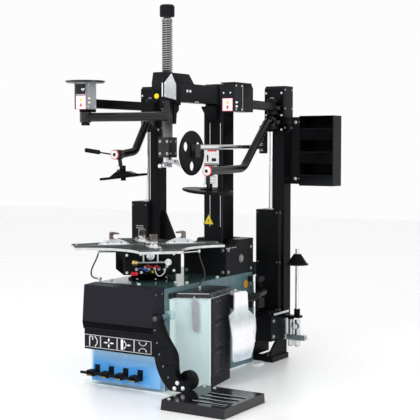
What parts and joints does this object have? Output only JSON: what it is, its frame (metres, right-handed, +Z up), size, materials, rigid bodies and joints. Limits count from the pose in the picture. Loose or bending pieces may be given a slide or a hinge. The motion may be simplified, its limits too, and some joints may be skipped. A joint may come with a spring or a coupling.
{
  "type": "tire changer machine",
  "caption": "Tyre changer: cabinet with a clamping turntable, tilt-back mounting column, two swing-arm helper towers, side bead breaker and wheel lift.",
  "frame": {"origin": "on the floor, on the turntable's axis", "axes": "+Z up, +Y from the operator to the back, +X to the operator's right"},
  "size_m": [1.2824, 1.479, 1.932],
  "materials": {
    "teal_sheet": "satin paint on folded sheet",
    "blue_sheet": "gloss sky-blue paint",
    "black_paint": "semi-gloss black powder coat",
    "black_cover": "moulded grain",
    "table_black": "high gloss with bare edge",
    "steel": "ground",
    "chrome": "polished",
    "zinc": "bright zinc",
    "rubber": "ribbed moulding",
    "grey_box": "grey powder coat",
    "yellow_plastic": "moulded",
    "spring_steel": "oiled",
    "grip": "smooth grip",
    "iron": "painted casting",
    "aluminium": "machined"
  },
  "bodies": {
    "root": {"base_flange": "teal_sheet", "cabinet": "teal_sheet", "pedal_panel": "blue_sheet", "front_cover": "black_cover", "symbol_strip": "black_cover", "side_box": "teal_sheet", "rubber_pads": "rubber", "table_housing": "black_paint", "housing_hardware": "steel", "gearbox": "iron", "motor": "iron", "drive_belt": "rubber", "column_base": "black_paint", "left_tower": "black_paint", "right_tower": "black_paint", "tool_box": "black_paint", "side_brackets": "black_paint", "air_unit": "aluminium", "hose_left": "rubber", "hose_right": "rubber"},
    "motor_pulley": {"motor_pulley": "aluminium"},
    "worm_pulley": {"worm_pulley": "aluminium"},
    "turntable": {"turntable": "table_black"},
    "jaw_1": {"jaw_1": "zinc"},
    "jaw_2": {"jaw_2": "zinc"},
    "jaw_3": {"jaw_3": "zinc"},
    "jaw_4": {"jaw_4": "zinc"},
    "tilt_column": {"tilt_column": "black_paint"},
    "horizontal_arm": {"horizontal_arm": "black_paint", "arm_hood": "black_paint"},
    "lock_button": {"lock_button": "yellow_plastic"},
    "tool_shaft": {"hex_shaft": "steel", "shaft_cap": "black_cover", "return_spring": "spring_steel", "mount_head": "steel"},
    "demount_hook": {"demount_hook": "steel"},
    "right_carriage": {"right_carriage": "black_paint"},
    "left_carriage": {"left_carriage": "black_paint"},
    "right_link": {"right_link": "black_paint", "right_control_box": "black_paint"},
    "left_link": {"left_link": "black_paint", "left_control_box": "grey_box"},
    "left_swing_tube": {"left_swing_tube": "black_paint"},
    "right_press_arm": {"right_press_arm": "black_paint"},
    "right_press_disc": {"right_press_disc": "black_paint"},
    "disc_arm": {"disc_arm": "chrome"},
    "wheel_disc": {"wheel_disc": "black_paint"},
    "left_press_arm": {"left_press_arm": "black_paint"},
    "left_lever": {"left_lever": "black_cover"},
    "left_press_foot": {"left_press_foot": "black_paint"},
    "breaker_arm": {"breaker_arm": "black_paint"},
    "breaker_blade": {"breaker_blade": "zinc"},
    "pedal_1": {"pedal_1": "black_cover"},
    "pedal_2": {"pedal_2": "black_cover"},
    "pedal_3": {"pedal_3": "black_cover"},
    "pedal_4": {"pedal_4": "black_cover"},
    "wheel_lift": {"lift_arm": "black_paint", "lift_platform": "black_paint"},
    "centring_cone": {"centring_cone": "black_paint"},
    "tyre_lever": {"tyre_lever": "grip"}
  },
  "joints": [
    {"name": "turntable_spin", "type": "hinge", "parent": "root", "child": "turntable", "pos_m": [0, 0, 0], "axis": [0, 0, 1], "continuous": true},
    {"name": "worm_pulley_spin", "type": "hinge", "parent": "root", "child": "worm_pulley", "pos_m": [0, 0.1, 0.372], "axis": [0, 1, 0], "continuous": true},
    {"name": "motor_pulley_spin", "type": "hinge", "parent": "root", "child": "motor_pulley", "pos_m": [0, 0.1, 0.13], "axis": [0, 1, 0], "continuous": true},
    {"name": "jaw_1_slide", "type": "slide", "parent": "turntable", "child": "jaw_1", "axis": [0.7071, -0.7071, 0], "range_m": [-0.07, 0.095]},
    {"name": "jaw_2_slide", "type": "slide", "parent": "turntable", "child": "jaw_2", "axis": [0.7071, 0.7071, 0], "range_m": [-0.07, 0.095]},
    {"name": "jaw_3_slide", "type": "slide", "parent": "turntable", "child": "jaw_3", "axis": [-0.7071, 0.7071, 0], "range_m": [-0.07, 0.095]},
    {"name": "jaw_4_slide", "type": "slide", "parent": "turntable", "child": "jaw_4", "axis": [-0.7071, -0.7071, 0], "range_m": [-0.07, 0.095]},
    {"name": "column_tilt", "type": "hinge", "parent": "root", "child": "tilt_column", "pos_m": [0.156, 0.462, 0.6], "axis": [-1, 0, 0], "range_deg": [0, 25]},
    {"name": "arm_slide", "type": "slide", "parent": "tilt_column", "child": "horizontal_arm", "axis": [0, 1, 0], "range_m": [0, 0.18]},
    {"name": "lock_button_press", "type": "slide", "parent": "horizontal_arm", "child": "lock_button", "axis": [0, 1, 0], "range_m": [0, 0.01], "stiffness_N_per_m": 400},
    {"name": "tool_shaft_slide", "type": "slide", "parent": "horizontal_arm", "child": "tool_shaft", "axis": [0, 0, -1], "range_m": [0, 0.16], "stiffness_N_per_m": 1200, "springref_m": -0.18, "deforming": ["return_spring"]},
    {"name": "demount_hook_pivot", "type": "hinge", "parent": "tool_shaft", "child": "demount_hook", "pos_m": [0.202, -0.042, 1.136], "axis": [0, 1, 0], "range_deg": [-30, 35]},
    {"name": "right_lift", "type": "slide", "parent": "root", "child": "right_carriage", "axis": [0, 0, -1], "range_m": [0, 0.2]},
    {"name": "left_lift", "type": "slide", "parent": "root", "child": "left_carriage", "axis": [0, 0, -1], "range_m": [0, 0.2]},
    {"name": "right_link_swing", "type": "hinge", "parent": "right_carriage", "child": "right_link", "pos_m": [0.364, 0.692, 1.435], "axis": [0, 0, 1], "range_deg": [0, 35]},
    {"name": "left_link_swing", "type": "hinge", "parent": "left_carriage", "child": "left_link", "pos_m": [-0.228, 0.356, 1.435], "axis": [0, 0, 1], "range_deg": [-40, 0]},
    {"name": "left_tube_swing", "type": "hinge", "parent": "left_link", "child": "left_swing_tube", "pos_m": [-0.23, -0.226, 1.363], "axis": [0, 0, 1], "range_deg": [-80, 0]},
    {"name": "right_press_swing", "type": "hinge", "parent": "right_carriage", "child": "right_press_arm", "pos_m": [0.364, 0.692, 1.352], "axis": [0, 0, 1], "range_deg": [0, 35]},
    {"name": "right_press_disc_tilt", "type": "hinge", "parent": "right_press_arm", "child": "right_press_disc", "pos_m": [0.4, -0.04, 1.014], "axis": [0, 1, 0], "range_deg": [-6, 6]},
    {"name": "disc_arm_lift", "type": "hinge", "parent": "right_carriage", "child": "disc_arm", "pos_m": [0.3155, 0.676, 1.21], "axis": [-1, 0, 0], "range_deg": [0, 12]},
    {"name": "wheel_disc_spin", "type": "hinge", "parent": "disc_arm", "child": "wheel_disc", "pos_m": [0.291, -0.022, 1.179], "axis": [1, 0, 0], "continuous": true},
    {"name": "left_press_swing", "type": "hinge", "parent": "left_carriage", "child": "left_press_arm", "pos_m": [-0.228, 0.356, 1.352], "axis": [0, 0, 1], "range_deg": [-35, 10]},
    {"name": "left_lever_turn", "type": "hinge", "parent": "left_press_arm", "child": "left_lever", "pos_m": [-0.253, 0.08, 1.169], "axis": [0, 1, 0], "range_deg": [-40, 50]},
    {"name": "left_press_foot_tilt", "type": "hinge", "parent": "left_press_arm", "child": "left_press_foot", "pos_m": [-0.239, 0.092, 1.097], "axis": [0, 1, 0], "range_deg": [-5, 5]},
    {"name": "breaker_swing", "type": "hinge", "parent": "root", "child": "breaker_arm", "pos_m": [0.345, 0.56, 0.42], "axis": [0, 0, 1], "range_deg": [0, 42]},
    {"name": "breaker_blade_turn", "type": "hinge", "parent": "breaker_arm", "child": "breaker_blade", "pos_m": [0.476, 0.096, 0.42], "axis": [0, 0, 1], "range_deg": [-10, 15]},
    {"name": "pedal_1_press", "type": "hinge", "parent": "root", "child": "pedal_1", "pos_m": [-0.086, -0.304, 0.092], "axis": [1, 0, 0], "range_deg": [0, 12], "stiffness_Nm_per_rad": 12, "springref_deg": -6.88},
    {"name": "pedal_2_press", "type": "hinge", "parent": "root", "child": "pedal_2", "pos_m": [0.003, -0.304, 0.092], "axis": [1, 0, 0], "range_deg": [0, 12], "stiffness_Nm_per_rad": 12, "springref_deg": -6.88},
    {"name": "pedal_3_press", "type": "hinge", "parent": "root", "child": "pedal_3", "pos_m": [0.092, -0.304, 0.092], "axis": [1, 0, 0], "range_deg": [0, 12], "stiffness_Nm_per_rad": 12, "springref_deg": -6.88},
    {"name": "pedal_4_press", "type": "hinge", "parent": "root", "child": "pedal_4", "pos_m": [0.181, -0.304, 0.092], "axis": [1, 0, 0], "range_deg": [0, 12], "stiffness_Nm_per_rad": 12, "springref_deg": -6.88},
    {"name": "wheel_lift_swing", "type": "hinge", "parent": "root", "child": "wheel_lift", "pos_m": [0.324, -0.3, 0.385], "axis": [0, 1, 0], "range_deg": [-60, 0]},
    {"name": "cone_lift_off", "type": "slide", "parent": "root", "child": "centring_cone", "axis": [0, 0, 1], "range_m": [0, 0.12]},
    {"name": "tyre_lever_lift", "type": "slide", "parent": "root", "child": "tyre_lever", "axis": [0, 0, 1], "range_m": [0, 0.15]}
  ],
  "couplings": [
    {"joint": "jaw_2_slide", "follows": "jaw_1_slide", "ratio": 1},
    {"joint": "jaw_3_slide", "follows": "jaw_1_slide", "ratio": 1},
    {"joint": "jaw_4_slide", "follows": "jaw_1_slide", "ratio": 1},
    {"joint": "worm_pulley_spin", "follows": "turntable_spin", "ratio": 30},
    {"joint": "motor_pulley_spin", "follows": "turntable_spin", "ratio": 60}
  ]
}
